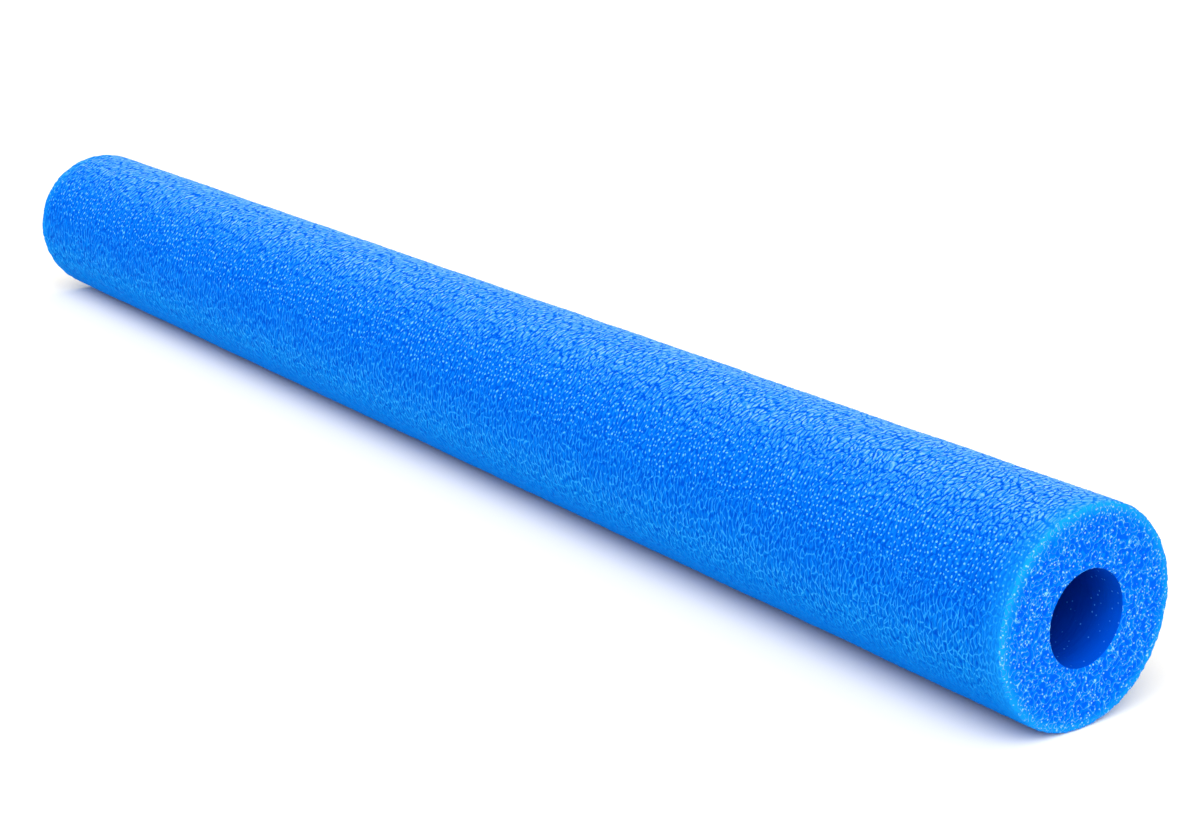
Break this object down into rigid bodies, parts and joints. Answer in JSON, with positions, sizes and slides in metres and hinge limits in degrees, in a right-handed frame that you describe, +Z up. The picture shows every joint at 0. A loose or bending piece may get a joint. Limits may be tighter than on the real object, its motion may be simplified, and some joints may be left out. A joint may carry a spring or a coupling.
{
  "type": "pool noodle",
  "caption": "Round foam tube with a through bore and softly rounded ends, used as a float to hold, ride or lean on in water.",
  "frame": {"origin": "centre of the underside's bounding rectangle, on the surface that the tube lies on", "axes": "+X along the tube, +Z up from the surface that it lies on, +Y across it"},
  "size_m": [0.645, 0.065, 0.0646],
  "materials": {
    "polyethylene_foam": "azure closed-cell polyethylene foam with a crinkled skin and cut ends of open cells"
  },
  "bodies": {
    "root": {"foam_tube": "polyethylene_foam"}
  },
  "joints": []
}
